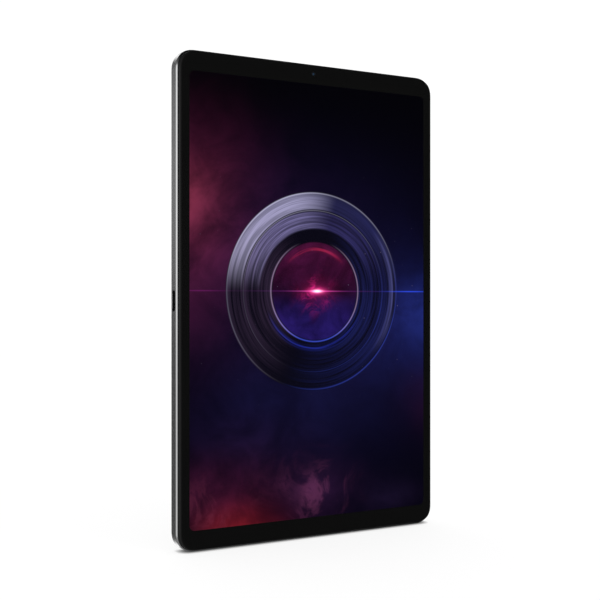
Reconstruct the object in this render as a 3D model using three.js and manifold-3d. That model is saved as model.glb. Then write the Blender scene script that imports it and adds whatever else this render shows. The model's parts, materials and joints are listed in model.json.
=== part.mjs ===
// An 8.8-inch tablet computer, upright, in millimetres.
// X runs along the width, Y from the screen (-Y) to the back (+Y), Z up the height.
// The origin is the middle of the bottom short edge.

import * as THREE from 'three';
import { mergeVertices } from 'three/addons/utils/BufferGeometryUtils.js';
import Module from 'manifold-3d';

const wasm = await Module();
wasm.setup();

// ---------------------------------------------------------------- driving dimensions

const WIDTH = 129.46;
const HEIGHT = 208.54;
const THICKNESS = 7.6;
const CORNER_RADIUS = 7.6;

// Depths are measured back from the front plane of the cover glass.
const GLASS = [0, 0.7];
const ADHESIVE = [0.75, 0.85];
const PANEL = [0.9, 1.25];
const FILMS = [1.3, 1.42];
const LIGHT_GUIDE = [1.47, 1.8];
const REFLECTOR = [1.85, 1.92];
const TRAY_FLOOR = [1.97, 2.12];
const MID_PLATE = [2.2, 2.7];
const SPREADER = [2.8, 3.1];
const BATTERY = [3.25, 6.42];
const BOARD = [4.6, 5.4];
const SUB_BOARD = [6.05, 6.55];
const BACK_INSIDE = 6.7;

// Side walls
const WALL = 1.7;
const LIP_FRONT = 1.4;
const FRONT_CHAMFER = 0.55;
const BACK_FILLET = 1.2;
const EDGE_AXIS = 3.9;

// Display area
const PANEL_SIZE = [122, 195.8];
const PANEL_BOTTOM = 6.2;

// Sockets
const USB_MOUTH = [8.7, 2.9];
const USB_BORE = [8.34, 2.56];
const USB_DEPTH_AXIS = 4.3;
const USB_LENGTH = 7.3;

// Controls on the right long side
const POWER_Z = 138;
const POWER_LENGTH = 10.5;
const VOLUME_Z = 163;
const VOLUME_LENGTH = 23;
const BUTTON_HEIGHT = 1.8;
const BUTTON_PROUD = 0.4;
const BUTTON_GAP = 0.15;

// Card tray, right long side
const CARD_Z = 36;
const CARD_HEAD = [16.5, 2];
const CARD_TAIL_X = 46.4;

// Rear camera and flash, seen from the back in the upper left corner
const CAMERA = { x: 50, z: 194, body: 9.2, ringRadius: 6.7, glassRadius: 4.7, lensRadius: 3, proud: 0.9 };
const FLASH = { x: 38, z: 194, radius: 1.5 };

// Front camera, in the middle of the top border
const FRONT_CAMERA = { x: 0, z: 204.1, lensRadius: 1.1, body: 5 };

// Screws that hold the mid plate
const SCREW_X = 58;
const LEFT_SCREW_LEVELS = [186, 124, 22];
const RIGHT_SCREW_LEVELS = [186, 104, 22];
const SCREW = { headRadius: 1.2, headHeight: 0.24, shankRadius: 0.7, length: 2.4 };
const BOSS_RADIUS = 1.7;

// Speakers
const TOP_SPEAKER = { x: -40, z: 198.9 };
const BOTTOM_SPEAKER = { x: 40, z: 9.6 };
const SPEAKER_SIZE = { width: 32, height: 11.4 };
const SLOT = { count: 6, pitch: 3.6, length: 2.5, height: 1.3 };

// Haptic motor
const HAPTIC = { x: -45, z: 8.6, width: 15, height: 7 };

// Microphones behind their holes in the short edges
const TOP_MICROPHONE_X = 10;
const BOTTOM_MICROPHONE_X = -16;
const MICROPHONE_HOLE = [0.92, 0.9];
const MICROPHONE_SIZE = 3;

// Battery cells and boards, as spans of x and z
const CELL_LEFT_X = [-52, 0.8];
const CELL_RIGHT_X = [2.2, 54];
const CELL_Z = [50, 148];
const MAIN_BOARD_X = [-54, 54];
const MAIN_BOARD_Z = [153, 188];

// Wireless windows in the back plate
const TOP_WINDOW = { x: -2, z: 200.2, width: 66, height: 5.6 };
const BOTTOM_WINDOW = { x: 0, z: 8.3, width: 66, height: 5.6 };
const WINDOW_FRONT = 7;

// ---------------------------------------------------------------- finishes

const finish = {
  metal: { color: 0x6b6f76, roughness: 0.42, metalness: 0.85 },
  darkPlastic: { color: 0x0c0c0d, roughness: 0.45, metalness: 0 },
  glass: { color: 0x060607, roughness: 0.05, metalness: 0 },
  clearPlastic: { color: 0xc9d2da, roughness: 0.2, metalness: 0 },
  whitePlastic: { color: 0xe6e6e2, roughness: 0.5, metalness: 0 },
  steel: { color: 0x9a9da1, roughness: 0.35, metalness: 1 },
  darkSteel: { color: 0x3c3e42, roughness: 0.4, metalness: 0.9 },
  copper: { color: 0xb4713d, roughness: 0.35, metalness: 1 },
  board: { color: 0x12352a, roughness: 0.55, metalness: 0 },
  flex: { color: 0x8a4a14, roughness: 0.5, metalness: 0 },
  pouch: { color: 0x1b1c1f, roughness: 0.4, metalness: 0.1 },
  greyPlastic: { color: 0x5d6066, roughness: 0.5, metalness: 0.1 },
  membrane: { color: 0x202226, roughness: 0.6, metalness: 0 },
  wireMesh: { color: 0x2b2c2f, roughness: 0.5, metalness: 0.7 },
};

// ---------------------------------------------------------------- solids and shapes

const depthToY = (depth) => depth - THICKNESS / 2;

/** A closed geometry as a solid that can be joined and cut. */
function solidOf(geometry) {
  const bare = geometry.clone();
  bare.deleteAttribute('normal');
  bare.deleteAttribute('uv');
  const merged = mergeVertices(bare);
  const vertProperties = Float32Array.from(merged.attributes.position.array);
  const triVerts = Uint32Array.from(merged.index.array);
  return new wasm.Manifold(new wasm.Mesh({ numProp: 3, vertProperties, triVerts }));
}

/** The geometry of a finished solid. */
function geometryOf(solid) {
  const mesh = solid.getMesh();
  const geometry = new THREE.BufferGeometry();
  geometry.setAttribute('position', new THREE.BufferAttribute(mesh.vertProperties, 3));
  geometry.setIndex(new THREE.BufferAttribute(mesh.triVerts, 1));
  geometry.computeVertexNormals();
  return geometry;
}

const join = (...geometries) =>
  geometryOf(geometries.map(solidOf).reduce((whole, next) => whole.add(next)));

const cut = (body, ...tools) =>
  geometryOf(tools.map(solidOf).reduce((whole, tool) => whole.subtract(tool), solidOf(body)));

const common = (first, second) => geometryOf(solidOf(first).intersect(solidOf(second)));

/** A rectangle with round corners, drawn with arcs only; the straight sides join them. */
function roundedRect(x, y, width, height, radius) {
  const shape = new THREE.Shape();
  const right = x + width / 2 - radius;
  const left = x - width / 2 + radius;
  const top = y + height / 2 - radius;
  const bottom = y - height / 2 + radius;
  shape.absarc(right, bottom, radius, -Math.PI / 2, 0);
  shape.absarc(right, top, radius, 0, Math.PI / 2);
  shape.absarc(left, top, radius, Math.PI / 2, Math.PI);
  shape.absarc(left, bottom, radius, Math.PI, 1.5 * Math.PI);
  return shape;
}

/** The tablet's outline seen from the front, drawn in by an inset. */
const outline = (inset) =>
  roundedRect(0, HEIGHT / 2, WIDTH - 2 * inset, HEIGHT - 2 * inset, CORNER_RADIUS - inset);

/** A front-view shape made solid between two depths, with an optional bevel on both rims. */
function plate(shape, [front, back], bevel = 0, bevelSegments = 1, curveSegments = 6) {
  const geometry = new THREE.ExtrudeGeometry(shape, {
    depth: back - front - 2 * bevel,
    bevelEnabled: bevel > 0,
    bevelThickness: bevel,
    bevelSize: bevel,
    bevelOffset: -bevel,
    bevelSegments,
    curveSegments,
  });
  geometry.translate(0, 0, bevel);
  geometry.rotateX(Math.PI / 2);
  geometry.translate(0, depthToY(back), 0);
  return geometry;
}

/** A rectangular block between two x values, two depths and two heights. */
function block([x0, x1], [front, back], [z0, z1]) {
  const geometry = new THREE.BoxGeometry(x1 - x0, back - front, z1 - z0);
  geometry.translate((x0 + x1) / 2, depthToY((front + back) / 2), (z0 + z1) / 2);
  return geometry;
}

/** A round bar or bore along Y. */
function barY(x, z, radius, [front, back], sides = 20) {
  const geometry = new THREE.CylinderGeometry(radius, radius, back - front, sides);
  geometry.translate(x, depthToY((front + back) / 2), z);
  return geometry;
}

/** A round-ended bar along Z: a socket or slot in a short edge. */
function barZ(x, depth, [length, height], [z0, z1], curveSegments = 5) {
  const shape = roundedRect(0, 0, length, height, height / 2 - 0.001);
  const geometry = new THREE.ExtrudeGeometry(shape, { depth: z1 - z0, bevelEnabled: false, curveSegments });
  geometry.translate(x, depthToY(depth), z0);
  return geometry;
}

/** A round-ended bar along X: a socket or slot in a long side. */
function barX(z, depth, [length, height], [x0, x1], curveSegments = 5) {
  const shape = roundedRect(0, 0, length, height, height / 2 - 0.001);
  const geometry = new THREE.ExtrudeGeometry(shape, { depth: x1 - x0, bevelEnabled: false, curveSegments });
  geometry.rotateY(Math.PI / 2);
  geometry.translate(x0, depthToY(depth), z);
  return geometry;
}

const around = (centre, size) => [centre - size / 2, centre + size / 2];

const tablet = new THREE.Group();
tablet.name = 'tablet';

/** Adds one named piece to a group, the tablet's own unless another is given. */
function piece(name, geometry, look, parent = tablet) {
  const mesh = new THREE.Mesh(geometry, new THREE.MeshStandardMaterial(look));
  mesh.name = name;
  parent.add(mesh);
  return mesh;
}

// ---------------------------------------------------------------- rear housing

const screwPlaces = [
  ...LEFT_SCREW_LEVELS.map((z) => [-SCREW_X, z]),
  ...RIGHT_SCREW_LEVELS.map((z) => [SCREW_X, z]),
];

const slotPlaces = (centre) =>
  Array.from({ length: SLOT.count }, (_, i) => centre + (i - (SLOT.count - 1) / 2) * SLOT.pitch);

/** The outer form: back fillet all round, flat walls and a narrow chamfer at the front lip. */
function housingForm() {
  const filleted = plate(outline(0), [LIP_FRONT - 8, THICKNESS], BACK_FILLET, 3);
  const chamfered = plate(outline(0), [LIP_FRONT, THICKNESS + 8], FRONT_CHAMFER);
  return common(filleted, chamfered);
}

/** A shallow seat with a smaller hole through it, for a window that lies flush in the back. */
function windowSeat({ x, z, width, height }) {
  const seat = roundedRect(x, z, width + 0.2, height + 0.2, 1.6);
  const hole = roundedRect(x, z, width - 2.4, height - 2.4, 0.8);
  return [
    plate(seat, [WINDOW_FRONT - 0.05, THICKNESS + 1], 0, 1, 3),
    plate(hole, [BACK_INSIDE - 1, THICKNESS], 0, 1, 3),
  ];
}

function rearHousing() {
  const cavity = plate(outline(WALL), [LIP_FRONT - 1, BACK_INSIDE]);
  const shell = cut(housingForm(), cavity);
  const bossDepth = [MID_PLATE[1] + 0.05, BACK_INSIDE + 0.3];
  const bosses = screwPlaces.map(([x, z]) => barY(x, z, BOSS_RADIUS, bossDepth, 10));
  const threads = screwPlaces.map(([x, z]) => barY(x, z, SCREW.shankRadius + 0.1, [2, 5.4], 8));
  const wallX = [WIDTH / 2 - WALL - 0.5, WIDTH / 2 + 1];
  const button = (z, length) =>
    barX(z, EDGE_AXIS, [length + 2 * BUTTON_GAP, BUTTON_HEIGHT + 2 * BUTTON_GAP], wallX, 4);
  const ports = [
    barX(HEIGHT / 2, USB_DEPTH_AXIS, USB_MOUTH, [-WIDTH / 2 - 1, -WIDTH / 2 + WALL + 0.5]),
    barZ(0, USB_DEPTH_AXIS, USB_MOUTH, [-1, WALL + 0.5]),
    button(POWER_Z, POWER_LENGTH),
    button(VOLUME_Z, VOLUME_LENGTH),
    barX(CARD_Z, EDGE_AXIS, CARD_HEAD.map((size) => size + 0.3), wallX),
  ];
  const grille = (centre, z) =>
    slotPlaces(centre).map((x) => barZ(x, EDGE_AXIS, [SLOT.length, SLOT.height], z, 2));
  const topWall = [HEIGHT - WALL - 0.5, HEIGHT + 1];
  const bottomWall = [-1, WALL + 0.5];
  const openings = [
    ...grille(TOP_SPEAKER.x, topWall),
    ...grille(BOTTOM_SPEAKER.x, bottomWall),
    barZ(TOP_MICROPHONE_X, EDGE_AXIS, MICROPHONE_HOLE, topWall, 2),
    barZ(BOTTOM_MICROPHONE_X, EDGE_AXIS, MICROPHONE_HOLE, bottomWall, 2),
    barY(CAMERA.x, CAMERA.z, 5.5, [BACK_INSIDE - 1, THICKNESS + 1], 24),
    barY(FLASH.x, FLASH.z, FLASH.radius + 0.1, [BACK_INSIDE - 1, THICKNESS + 1], 12),
    ...windowSeat(TOP_WINDOW),
    ...windowSeat(BOTTOM_WINDOW),
  ];
  return cut(join(shell, ...bosses), ...threads, ...ports, ...openings);
}

piece('rear_housing', rearHousing(), finish.metal);

function antennaWindow({ x, z, width, height }) {
  const shape = roundedRect(x, z, width, height, 1.5);
  return plate(shape, [WINDOW_FRONT, THICKNESS], 0, 1, 3);
}

piece('top_antenna_window', antennaWindow(TOP_WINDOW), finish.greyPlastic);
piece('bottom_antenna_window', antennaWindow(BOTTOM_WINDOW), finish.greyPlastic);

// ---------------------------------------------------------------- front: frame and glass

/** The plastic frame that carries the glass: a flat flange with a spigot inside the metal wall. */
function displayFrame() {
  const flange = plate(outline(0.75), [0.75, 1.35]);
  const spigot = plate(outline(1.8), [1.3, 2.12]);
  const flangeHole = plate(outline(3.2), [0, 1.35]);
  const spigotHole = plate(outline(2.6), [1.35, 3]);
  return cut(join(flange, spigot), flangeHole, spigotHole);
}

/** One sheet of glass with a bevelled front rim and a square back rim. */
function coverGlass() {
  const bevelled = plate(outline(0.95), [GLASS[0], GLASS[1] + 2], 0.35, 3);
  const sheet = plate(outline(0.6), GLASS);
  return common(bevelled, sheet);
}

piece('display_frame', displayFrame(), finish.darkPlastic);
piece('cover_glass', coverGlass(), finish.glass);

// ---------------------------------------------------------------- display stack

const panelShape = (inset) =>
  roundedRect(
    0,
    PANEL_BOTTOM + PANEL_SIZE[1] / 2,
    PANEL_SIZE[0] - 2 * inset,
    PANEL_SIZE[1] - 2 * inset,
    2 - inset,
  );

/** The pressed steel tray behind the backlight: a floor with a low rim. */
function backlightTray() {
  const outer = plate(panelShape(0), [FILMS[0], TRAY_FLOOR[1]], 0, 1, 3);
  const inner = plate(panelShape(0.25), [0, TRAY_FLOOR[0]], 0, 1, 3);
  return cut(outer, inner);
}

const STRIP_X = [-58, 58];
const STRIP_Z = [PANEL_BOTTOM + 0.7, PANEL_BOTTOM + 1.6];
const GUIDE_Z = [STRIP_Z[1] + 0.1, PANEL_BOTTOM + PANEL_SIZE[1] - 0.6];
const guideShape = roundedRect(0, (GUIDE_Z[0] + GUIDE_Z[1]) / 2, 120.6, GUIDE_Z[1] - GUIDE_Z[0], 1.5);

piece('optical_adhesive', plate(panelShape(0.2), ADHESIVE, 0, 1, 3), finish.clearPlastic);
piece('lcd_panel', plate(panelShape(0), PANEL, 0, 1, 3), finish.glass);
piece('optical_films', plate(panelShape(0.5), FILMS, 0, 1, 3), finish.whitePlastic);
piece('light_guide_plate', plate(guideShape, LIGHT_GUIDE, 0, 1, 3), finish.clearPlastic);
piece('led_strip', block(STRIP_X, LIGHT_GUIDE, STRIP_Z), finish.flex);
piece('reflector_sheet', plate(panelShape(0.5), REFLECTOR, 0, 1, 3), finish.whitePlastic);
piece('backlight_tray', backlightTray(), finish.steel);

// The panel's ribbon leaves the lower edge, turns back through the mid plate and lies behind it.
const RIBBON_X = [-34, -14];
piece(
  'display_ribbon',
  join(
    block(RIBBON_X, [1, 1.12], [4.6, 6.1]),
    block(RIBBON_X, [1, 2.94], [4.6, 4.75]),
    block(RIBBON_X, [2.8, 2.94], [4.6, 44]),
  ),
  finish.flex,
);

// ---------------------------------------------------------------- mid plate and screws

function midPlate() {
  const sheet = plate(outline(2.4), MID_PLATE);
  const through = [0, 4];
  const holes = screwPlaces.flatMap(([x, z]) => [
    barY(x, z, SCREW.headRadius + 0.15, [0, 2.5], 10),
    barY(x, z, SCREW.shankRadius + 0.1, through, 8),
  ]);
  return cut(
    sheet,
    ...holes,
    block([-70, -55.2], through, around(HEIGHT / 2, 10.4)),
    block([-5.2, 5.2], through, [-1, 9.6]),
    block([RIBBON_X[0] - 0.6, RIBBON_X[1] + 0.6], through, [4.2, 5.2]),
    barY(FRONT_CAMERA.x, FRONT_CAMERA.z, FRONT_CAMERA.lensRadius + 0.2, through),
  );
}

piece('mid_plate', midPlate(), finish.steel);

/** A flat-headed machine screw pointing back, with a recess in its head. */
function screwGeometry() {
  const profile = [
    [0, 0.1],
    [0.5, 0.1],
    [0.6, 0],
    [SCREW.headRadius, 0],
    [SCREW.headRadius, SCREW.headHeight],
    [SCREW.shankRadius, SCREW.headHeight],
    [SCREW.shankRadius, SCREW.length],
    [0, SCREW.length],
  ];
  const points = profile.map(([radius, y]) => new THREE.Vector2(radius, y));
  return geometryOf(solidOf(new THREE.LatheGeometry(points, 10)));
}

screwPlaces.forEach(([x, z], i) => {
  const screw = piece(`mid_plate_screw_${i + 1}`, screwGeometry(), finish.darkSteel);
  screw.position.set(x, depthToY(MID_PLATE[0] + 0.02), z);
});

// ---------------------------------------------------------------- battery and boards

/** One flat pouch cell with rounded corners. */
function batteryCell([left, right]) {
  const [low, high] = CELL_Z;
  const shape = roundedRect((left + right) / 2, (low + high) / 2, right - left, high - low, 2);
  return plate(shape, BATTERY, 0, 1, 3);
}

piece('battery_cell_left', batteryCell(CELL_LEFT_X), finish.pouch);
piece('battery_cell_right', batteryCell(CELL_RIGHT_X), finish.pouch);
piece('battery_protection_board', block([-30, 30], [4.2, 5.2], [148.5, 151.9]), finish.board);

/** The main board with the chips and connectors that are soldered to it. */
function mainBoard() {
  const chip = (x, z, size, height) =>
    block(around(x, size), [BOARD[0] - height, BOARD[0] + 0.1], around(z, size));
  const connectors = [-40, 22, 36].map((x) =>
    block(around(x, 9), [BOARD[0] - 0.8, BOARD[0] + 0.1], around(156.5, 2.4)));
  return join(
    block(MAIN_BOARD_X, BOARD, MAIN_BOARD_Z),
    chip(-16, 172, 14, 0.9),
    chip(-34, 174, 11, 0.8),
    chip(20, 176, 8, 0.7),
    chip(33, 174, 6, 0.7),
    ...connectors,
  );
}

/** A drawn steel can, open towards the board. */
function shieldCan(x, z) {
  const can = block(x, [3.2, 4.5], z);
  const inside = block([x[0] + 0.2, x[1] - 0.2], [3.4, 5], [z[0] + 0.2, z[1] - 0.2]);
  return cut(can, inside);
}

piece('main_board', mainBoard(), finish.board);
piece('soc_shield', shieldCan([-42, -6], [162, 184]), finish.steel);
piece('power_shield', shieldCan([12, 40], [166, 184]), finish.steel);
piece('heat_spreader', block([-48, 44], SPREADER, [120, 186]), finish.copper);
piece('main_ribbon', block([-8, 8], [6.48, 6.63], [20.8, 152]), finish.flex);
piece('side_usb_ribbon', block([-55.6, -53], [6.1, 6.25], [113.6, 158]), finish.flex);

// ---------------------------------------------------------------- USB-C sockets

/** The socket's shell, open at its mouth, with the wall of the tablet at local z = 0. */
function usbShell() {
  const shellSize = USB_BORE.map((size) => size + 0.6);
  const outside = barZ(0, USB_DEPTH_AXIS, shellSize, [WALL + 0.06, WALL + USB_LENGTH]);
  const bore = barZ(0, USB_DEPTH_AXIS, USB_BORE, [0, WALL + USB_LENGTH - 0.5]);
  return cut(outside, bore);
}

/** The contact tongue with the block that holds it at the back of the shell. */
function usbTongue() {
  const stem = block(around(0, 6.7), around(USB_DEPTH_AXIS, 0.7), [WALL + 1, WALL + 6]);
  const base = block(around(0, 6.9), around(USB_DEPTH_AXIS, 1.9), [WALL + 5, WALL + 6.7]);
  return join(stem, base);
}

/** A socket on its small board; the group's own place turns it to its edge. */
function usbSocket(prefix, board) {
  const socket = new THREE.Group();
  piece(`${prefix}_usb_shell`, usbShell(), finish.steel, socket);
  piece(`${prefix}_usb_tongue`, usbTongue(), finish.darkPlastic, socket);
  piece(`${prefix}_usb_board`, board, finish.board, socket);
  tablet.add(socket);
  return socket;
}

const sideSocket = usbSocket('side', block([-9, 9], SUB_BOARD, [3.4, 11.8]));
sideSocket.rotation.y = Math.PI / 2;
sideSocket.position.set(-WIDTH / 2, 0, HEIGHT / 2);
usbSocket('bottom', block([-20, 20], SUB_BOARD, [3.4, 20]));

// ---------------------------------------------------------------- buttons

/** The cap shows through the wall and the flange behind the wall keeps it in. */
function buttonForm(z, length, flange) {
  const cap = barX(z, EDGE_AXIS, [length, BUTTON_HEIGHT], [flange[0] + 0.1, WIDTH / 2 + BUTTON_PROUD]);
  const stop = block(flange, around(EDGE_AXIS, 2.2), around(z, length + 1.8));
  return join(cap, stop);
}

/** The strip of three dome switches that the buttons press. */
function keyFlex() {
  const strip = block([61.1, 61.35], around(EDGE_AXIS, 2), [126, 179]);
  const dome = (z) => {
    const cap = new THREE.CylinderGeometry(0.5, 0.95, 0.6, 14);
    cap.rotateZ(-Math.PI / 2);
    cap.translate(61.6, depthToY(EDGE_AXIS), z);
    return cap;
  };
  return join(strip, dome(POWER_Z), dome(VOLUME_Z - 9), dome(VOLUME_Z + 9));
}

piece('power_button', buttonForm(POWER_Z, POWER_LENGTH, [62.45, 62.9]), finish.metal);
piece('volume_rocker', buttonForm(VOLUME_Z, VOLUME_LENGTH, [62.3, 62.7]), finish.metal);
piece('key_flex', keyFlex(), finish.flex);

// ---------------------------------------------------------------- card tray and reader

/** The drawer: a head flush with the wall, a frame for the card and the eject pin's hole. */
function cardTray() {
  const outer = WIDTH / 2;
  const head = barX(CARD_Z, EDGE_AXIS, CARD_HEAD, [outer - 1.5, outer]);
  const frame = block([CARD_TAIL_X, outer - 1.4], [3.5, 4.3], [CARD_Z - 7.6, CARD_Z + 4.6]);
  const pocket = block([CARD_TAIL_X + 1, outer - 2.6], [3, 5], [CARD_Z - 6.9, CARD_Z + 3.9]);
  const pinHole = barX(CARD_Z + 6.6, EDGE_AXIS, [1.02, 1], [outer - 3, outer + 1], 4);
  return cut(join(head, frame), pocket, pinHole);
}

/** The reader's sleeve, open towards the wall. */
function cardReader() {
  const sleeve = block([42.4, 62.4], [2.95, 4.85], [CARD_Z - 8.3, CARD_Z + 8]);
  const inside = block([43.2, 63], [3.25, 4.55], [CARD_Z - 7.9, CARD_Z + 7.6]);
  return cut(sleeve, inside);
}

/** The rod behind the pin hole and the arm that it swings behind the tray's tail. */
const trayEjector = () =>
  join(
    block([44, 62.2], [3.4, 4.4], [CARD_Z + 6, CARD_Z + 7.2]),
    block([44, 45.2], [3.4, 4.4], [CARD_Z - 5, CARD_Z + 6.5]),
  );

piece('card_tray', cardTray(), finish.metal);
piece('card_reader', cardReader(), finish.steel);
piece('tray_ejector', trayEjector(), finish.darkSteel);

// ---------------------------------------------------------------- speakers and haptic motor

/** A sound box with an open front and a duct to its edge of the tablet. */
function speakerBox({ x, z }, ductZ) {
  const { width, height } = SPEAKER_SIZE;
  const body = block(around(x, width), [3, 6.4], around(z, height));
  const chamber = block(around(x, width - 5), [2, 5.6], around(z, height - 3.6));
  const duct = block(around(x, 21), [3.3, 4.6], ductZ);
  return cut(body, chamber, duct);
}

/** Each speaker has a box, a diaphragm that moves in it and a wire mesh behind its slots. */
function speaker(prefix, place, ductZ, meshZ) {
  piece(`${prefix}_speaker_box`, speakerBox(place, ductZ), finish.darkPlastic);
  const cone = block(around(place.x, 24), [4.75, 5.1], around(place.z, 6.4));
  piece(`${prefix}_speaker_diaphragm`, cone, finish.membrane);
  piece(`${prefix}_speaker_mesh`, block(around(place.x, 22), around(EDGE_AXIS, 2), meshZ), finish.wireMesh);
}

speaker('top', TOP_SPEAKER, [TOP_SPEAKER.z, 210], [206.35, 206.7]);
speaker('bottom', BOTTOM_SPEAKER, [-2, BOTTOM_SPEAKER.z], [1.84, 2.19]);

/** The haptic motor's case, which the mid plate closes at the front. */
function hapticCase() {
  const { x, z, width, height } = HAPTIC;
  const body = block(around(x, width), [3, 6.3], around(z, height));
  const chamber = block(around(x, width - 1), [2, 5.9], around(z, height - 1));
  return cut(body, chamber);
}

piece('haptic_motor_case', hapticCase(), finish.steel);
piece('haptic_motor_weight', block(around(HAPTIC.x, 11), [3.3, 5.6], around(HAPTIC.z, 5)), finish.darkSteel);

// ---------------------------------------------------------------- cameras and flash

/** A body of revolution about Y from pairs of radius and depth that close on themselves. */
function turnedY(x, z, pairs, sides) {
  const points = [...pairs, pairs[0]].map(([radius, depth]) => new THREE.Vector2(radius, depthToY(depth)));
  const geometry = geometryOf(solidOf(new THREE.LatheGeometry(points, sides)));
  geometry.translate(x, 0, z);
  return geometry;
}

/** The ring round the rear camera: a neck through the back plate and a rim standing proud of it. */
function cameraRing() {
  const proud = THICKNESS + CAMERA.proud;
  return turnedY(CAMERA.x, CAMERA.z, [
    [4.2, 6.75],
    [5.3, 6.75],
    [5.3, THICKNESS + 0.05],
    [CAMERA.ringRadius, THICKNESS + 0.05],
    [CAMERA.ringRadius, proud - 0.3],
    [CAMERA.ringRadius - 0.3, proud],
    [CAMERA.glassRadius + 0.1, proud],
    [CAMERA.glassRadius + 0.1, 7.7],
    [4.2, 7.7],
  ], 24);
}

/** The camera's body with the bore that the focusing lens moves in. */
function cameraBody() {
  const body = block(around(CAMERA.x, CAMERA.body), [3.3, 6.6], around(CAMERA.z, CAMERA.body));
  return cut(body, barY(CAMERA.x, CAMERA.z, CAMERA.lensRadius + 0.4, [3.9, 7], 24));
}

/** The front camera: a square module with its lens reaching up to the glass. */
function frontCamera() {
  const { x, z, lensRadius, body } = FRONT_CAMERA;
  return join(
    block(around(x, body), [2.85, 5.6], around(z, body)),
    barY(x, z, lensRadius, [0.8, 3]),
  );
}

piece('rear_camera_ring', cameraRing(), finish.darkSteel);
piece('rear_camera_glass', barY(CAMERA.x, CAMERA.z, CAMERA.glassRadius, [7.75, 8.3], 24), finish.glass);
piece('rear_camera_body', cameraBody(), finish.darkPlastic);
piece('rear_camera_lens', barY(CAMERA.x, CAMERA.z, CAMERA.lensRadius, [4.3, 6.9], 24), finish.darkPlastic);
piece('flash_lens', barY(FLASH.x, FLASH.z, FLASH.radius, [6.75, 7.55], 16), finish.clearPlastic);
piece('flash_led', block(around(FLASH.x, 2.4), [5.8, 6.65], around(FLASH.z, 2.4)), finish.whitePlastic);
piece('front_camera', frontCamera(), finish.darkPlastic);

// ---------------------------------------------------------------- antennas and microphones

piece('top_antenna', block([-20, 34], [6.1, 6.4], [196, 203.5]), finish.copper);
piece('bottom_antenna', block([-54, -24], [6.1, 6.4], [13, 19]), finish.copper);
const microphone = (x, z) => block(around(x, MICROPHONE_SIZE), [3.2, 4.6], z);
piece('top_microphone', microphone(TOP_MICROPHONE_X, [204.4, 206.4]), finish.steel);
piece('bottom_microphone', microphone(BOTTOM_MICROPHONE_X, [2.1, 4.1]), finish.steel);

export default tablet;
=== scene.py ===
import json
import math

import bmesh
import bpy
from mathutils import Matrix, Vector


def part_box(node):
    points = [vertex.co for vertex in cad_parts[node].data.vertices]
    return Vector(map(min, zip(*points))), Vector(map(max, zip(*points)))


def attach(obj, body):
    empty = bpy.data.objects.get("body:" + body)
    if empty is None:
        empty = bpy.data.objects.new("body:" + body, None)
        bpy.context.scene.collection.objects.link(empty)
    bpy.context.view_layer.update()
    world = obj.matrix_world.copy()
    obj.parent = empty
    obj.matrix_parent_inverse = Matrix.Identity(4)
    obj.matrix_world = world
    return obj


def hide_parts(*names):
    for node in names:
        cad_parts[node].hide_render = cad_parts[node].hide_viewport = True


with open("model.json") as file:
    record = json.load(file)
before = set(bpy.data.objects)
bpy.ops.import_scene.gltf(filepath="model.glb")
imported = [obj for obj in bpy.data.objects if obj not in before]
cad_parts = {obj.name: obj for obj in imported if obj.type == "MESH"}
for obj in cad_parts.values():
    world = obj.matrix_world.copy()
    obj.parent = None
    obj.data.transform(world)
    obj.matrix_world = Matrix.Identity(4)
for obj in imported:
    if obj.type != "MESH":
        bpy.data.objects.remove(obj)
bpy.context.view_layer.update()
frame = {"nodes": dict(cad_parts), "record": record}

# ---------------------------------------------------------------- measures

MM = 0.001
housing_low, housing_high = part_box("rear_housing")
glass_low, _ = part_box("cover_glass")
HALF_WIDTH = -housing_low.x
HEIGHT = housing_high.z
FRONT = glass_low.y
THICKNESS = (housing_high.y - FRONT) / MM


def depth_to_y(depth):
    """The y of a depth in millimetres behind the front of the glass."""
    return FRONT + depth * MM


def depth_of(y):
    return (y - FRONT) / MM


def centre_of(node):
    low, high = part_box(node)
    return (low + high) / 2


def size_of(node):
    low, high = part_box(node)
    return (high - low) / MM


# Sections of the shell; from here on lengths are in millimetres, and depths are from the glass front
WALL = 1.7
LIP_DEPTH = 1.4
CHAMFER = 0.55
FILLET = 1.2
BACK_INSIDE = 6.7
BOSS_RADIUS = 1.7
THREAD_RADIUS = 0.8
EDGE_AXIS = 3.9

# The outline's corners: how far they reach along a side, and how gently they start
CORNER_REACH = 8.8
CORNER_POWER = 2.4
CORNER_STEPS = 20

# Sockets, slots and holes in the walls
PORT_AXIS = 4.3
PORT_MOUTH = (8.7, 2.9)
PORT_BORE = (8.34, 2.56)
PORT_STEPS = 12
SLOT_SIZE = (2.5, 1.3)
SLOT_PITCH = 3.6
SLOT_COUNT = 6
MICROPHONE_RADIUS = 0.45
TOP_MICROPHONE_X = 10
BOTTOM_MICROPHONE_X = -16

# Buttons on the right wall
POWER_LENGTH = 10.5
VOLUME_LENGTH = 23
BUTTON_HEIGHT = 1.8
BUTTON_PLAY = 0.24
CARD_PLAY = 0.16

# Rear camera and flash
CAMERA_HOLE_RADIUS = 5.5
CAMERA_GLASS_RADIUS = 4.7
FOCUS_LENS_RADIUS = 3.0
FLASH_RADIUS = 1.5
FLASH_HOLE_RADIUS = 1.6
FRONT_LENS_RADIUS = 1.08

# Lit window in the glass
SIDE_BORDER = 5.3
END_BORDER = 9.0
WINDOW_SIZE = (2 * HALF_WIDTH / MM - 2 * SIDE_BORDER, HEIGHT / MM - 2 * END_BORDER)
WINDOW_DEPTH = 0.3
WINDOW_CORNER = 2.4

# The middle of the screen, in metres, and the round band of the picture, measured from it
SCREEN_CENTRE = Vector((0, 0, HEIGHT / 2))
DISC_CENTRE = (0.8, 4.2)
DISC_INNER = 21.5
DISC_OUTER = 44.0

# ---------------------------------------------------------------- mesh tools

SHARP_EDGE_DEGREES = 32


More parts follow.
